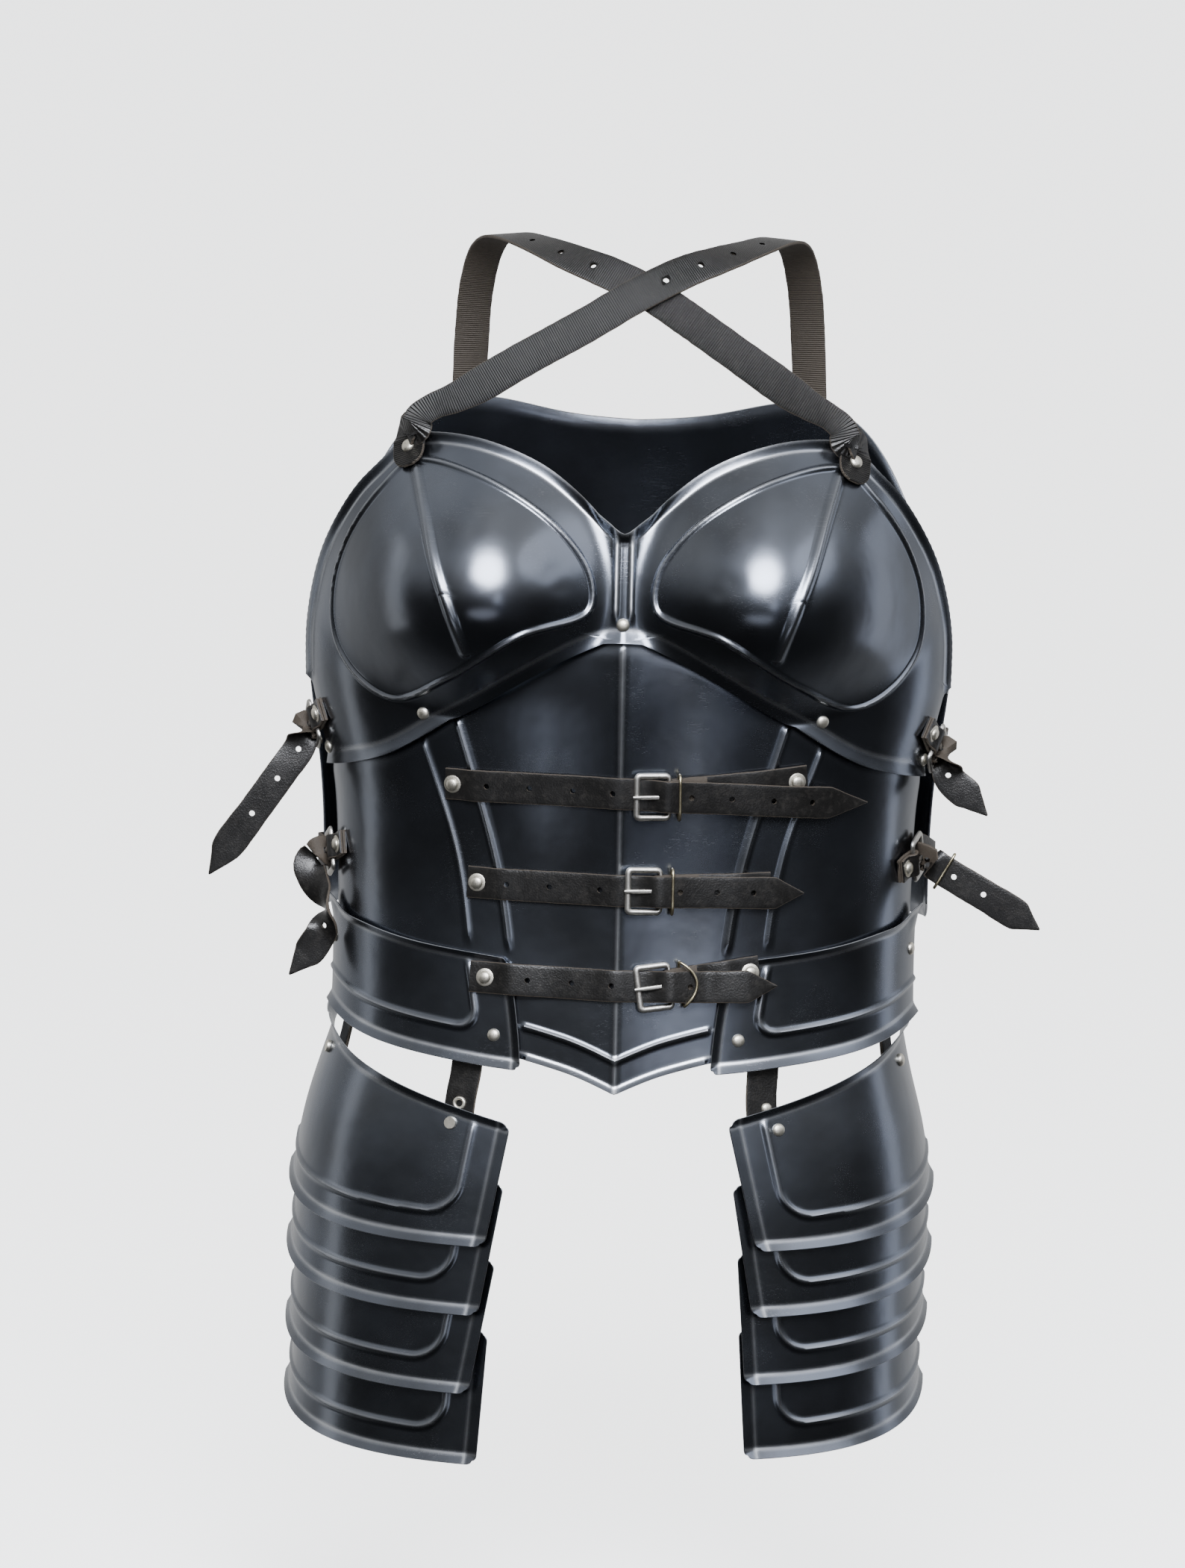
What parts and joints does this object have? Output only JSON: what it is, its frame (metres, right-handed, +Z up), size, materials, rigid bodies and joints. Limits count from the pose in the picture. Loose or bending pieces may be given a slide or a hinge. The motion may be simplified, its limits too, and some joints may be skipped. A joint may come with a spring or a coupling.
{
  "type": "steel breastplate with tassets",
  "caption": "Blackened steel body armour: two-cup breastplate, abdomen plate with a pointed hem, back plate, belt plates and lamed tassets, held by buckled leather straps.",
  "frame": {"origin": "on the midline, at the height where the two shoulder straps rest on the shoulders", "axes": "+Z up the body, the front faces -Y, the viewer's right is +X"},
  "size_m": [0.4731, 0.2535, 0.6843],
  "materials": {
    "blackened_steel": "polished, blackened",
    "black_leather": "grained, cut edges",
    "nickel_plate": "worn nickel plate"
  },
  "bodies": {
    "root": {"bust_plate": "blackened_steel", "abdomen_plate": "blackened_steel", "back_plate": "blackened_steel", "belt_plate_left": "blackened_steel", "belt_plate_right": "blackened_steel", "tasset_left_lame_1": "blackened_steel", "tasset_left_lame_2": "blackened_steel", "tasset_left_lame_3": "blackened_steel", "tasset_left_lame_4": "blackened_steel", "tasset_right_lame_1": "blackened_steel", "tasset_right_lame_2": "blackened_steel", "tasset_right_lame_3": "blackened_steel", "tasset_right_lame_4": "blackened_steel", "hanger_strap_left_front": "black_leather", "hanger_strap_left_hip": "black_leather", "hanger_strap_right_front": "black_leather", "hanger_strap_right_hip": "black_leather", "front_strap_1": "black_leather", "buckle_strap_1": "black_leather", "front_strap_2": "black_leather", "buckle_strap_2": "black_leather", "front_strap_3": "black_leather", "buckle_strap_3": "black_leather", "shoulder_strap_over": "black_leather", "shoulder_strap_under": "black_leather", "side_tab_upper_left": "black_leather", "side_strap_upper_left": "black_leather", "side_tab_lower_left": "black_leather", "side_strap_lower_left": "black_leather", "side_tab_upper_right": "black_leather", "side_strap_upper_right": "black_leather", "side_tab_lower_right": "black_leather", "side_strap_lower_right": "black_leather", "buckle_rivet_1": "nickel_plate", "front_buckle_1": "nickel_plate", "front_prong_1": "nickel_plate", "front_keeper_1": "nickel_plate", "front_rivet_1": "nickel_plate", "front_buckle_2": "nickel_plate", "front_prong_2": "nickel_plate", "front_keeper_2": "nickel_plate", "front_rivet_2": "nickel_plate", "buckle_rivet_3": "nickel_plate", "front_buckle_3": "nickel_plate", "front_prong_3": "nickel_plate", "front_keeper_3": "nickel_plate", "front_rivet_3": "nickel_plate", "shoulder_rivet_over": "nickel_plate", "shoulder_rivet_under": "nickel_plate", "side_buckle_upper_left": "nickel_plate", "side_prong_upper_left": "nickel_plate", "side_buckle_lower_left": "nickel_plate", "side_prong_lower_left": "nickel_plate", "side_buckle_upper_right": "nickel_plate", "side_prong_upper_right": "nickel_plate", "side_buckle_lower_right": "nickel_plate", "side_prong_lower_right": "nickel_plate", "side_keeper": "nickel_plate"}
  },
  "joints": []
}
